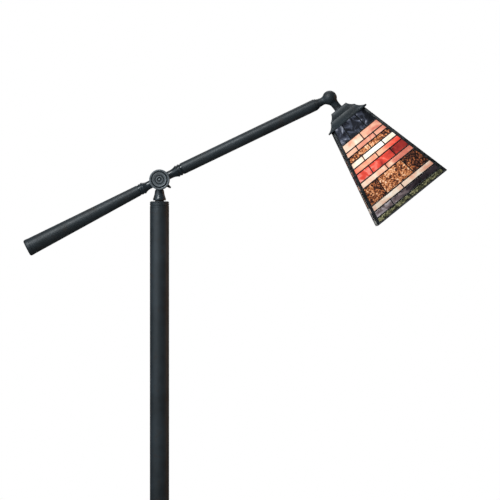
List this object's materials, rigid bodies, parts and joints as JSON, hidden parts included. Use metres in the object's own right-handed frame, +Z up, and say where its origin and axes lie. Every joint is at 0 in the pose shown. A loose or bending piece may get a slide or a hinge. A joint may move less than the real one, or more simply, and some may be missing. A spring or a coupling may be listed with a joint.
{
  "type": "leaded glass floor lamp",
  "caption": "Floor lamp with a round weighted base, a plain pole, a counterweighted tilting arm and a small square leaded-glass shade on a ball joint.",
  "frame": {"origin": "centre of the base's underside, on the floor", "axes": "+Z up along the pole, +X towards the shade, the arm in the XZ plane, +Y towards the back and the cord's inlet"},
  "size_m": [0.8451, 0.2828, 1.3983],
  "materials": {
    "dark_bronze": "near-black bronze lacquer, satin",
    "iron": "rough casting, painted black",
    "steel": "zinc plated",
    "brass": "raw brass",
    "came": "soldered metal with a dark patina",
    "fibre": "brown fibre washer",
    "felt": "black felt",
    "black_plastic": "black moulded plastic",
    "lead_jacket": "dark brown cable jacket",
    "bulb_metal": "bare spun metal",
    "bulb_glass": "frosted",
    "glass_blue": "streaky slate-blue art glass",
    "glass_cream": "streaky cream and peach opalescent glass",
    "glass_amber": "mottled amber and brown art glass",
    "glass_salmon": "streaky salmon and red glass",
    "glass_red": "streaky ruby glass",
    "glass_violet": "grey-violet streaky glass",
    "glass_olive": "olive streaky glass"
  },
  "bodies": {
    "stand": {"base_pad": "felt", "base_weight": "iron", "base_cover": "dark_bronze", "cord_bushing": "black_plastic", "base_rod": "steel", "base_washer": "steel", "base_lock_nut": "steel", "pole_foot": "dark_bronze", "pole_lower": "dark_bronze", "pole_coupler": "steel", "pole_joint_ring": "dark_bronze", "pole_upper": "dark_bronze", "pole_cap": "dark_bronze", "pole_lead": "lead_jacket"},
    "swivel": {"swivel_washer": "fibre", "swivel_stop": "steel", "swivel_nut": "steel", "yoke": "dark_bronze", "pivot_bolt": "dark_bronze", "friction_washers": "fibre", "disc_spring": "steel"},
    "lever": {"tension_lever": "dark_bronze"},
    "arm": {"arm_hub": "dark_bronze", "arm_ferrules": "dark_bronze", "arm_tube": "dark_bronze", "arm_plugs": "steel", "arm_tip": "dark_bronze", "arm_lead": "lead_jacket", "counterweight_sleeve": "dark_bronze", "counterweight_core": "iron", "counterweight_cap": "dark_bronze"},
    "ball": {"ball_front_half": "dark_bronze", "spindle_nut": "steel", "ball_screw": "steel", "ball_washer": "steel"},
    "shade": {"ball_rear_half": "dark_bronze", "nipple": "brass", "nipple_nuts": "brass", "canopy": "dark_bronze", "shade_crown": "dark_bronze", "leading_front": "came", "leading_left": "came", "leading_back": "came", "leading_right": "came", "corner_cames": "came", "shade_rim": "came", "glass_blue": "glass_blue", "glass_cream": "glass_cream", "glass_amber": "glass_amber", "glass_salmon": "glass_salmon", "glass_red": "glass_red", "glass_violet": "glass_violet", "glass_olive": "glass_olive", "socket_cap": "brass", "socket_shell": "brass", "socket_core": "black_plastic", "bulb_base": "bulb_metal", "bulb_globe": "bulb_glass"},
    "key": {"switch_key": "black_plastic"}
  },
  "joints": [
    {"name": "pole_swivel", "type": "hinge", "parent": "stand", "child": "swivel", "pos_m": [0, 0, 1.17], "axis": [0, 0, 1], "range_deg": [-160, 160]},
    {"name": "lever_turn", "type": "hinge", "parent": "swivel", "child": "lever", "pos_m": [0, 0.022, 1.22], "axis": [0, 1, 0], "range_deg": [-90, 90]},
    {"name": "arm_tilt", "type": "hinge", "parent": "swivel", "child": "arm", "pos_m": [0, 0, 1.22], "axis": [0, -1, 0], "range_deg": [-65, 15]},
    {"name": "ball_turn", "type": "hinge", "parent": "arm", "child": "ball", "pos_m": [0.34043, 0, 1.38384], "axis": [0.9011, 0, 0.4337], "range_deg": [-170, 170]},
    {"name": "shade_tilt", "type": "hinge", "parent": "ball", "child": "shade", "pos_m": [0.34043, 0, 1.38384], "axis": [0, -1, 0], "range_deg": [-18, 76.7]},
    {"name": "switch_turn", "type": "hinge", "parent": "shade", "child": "key", "pos_m": [0.38958, 0.02, 1.32314], "axis": [0, 1, 0], "continuous": true}
  ]
}
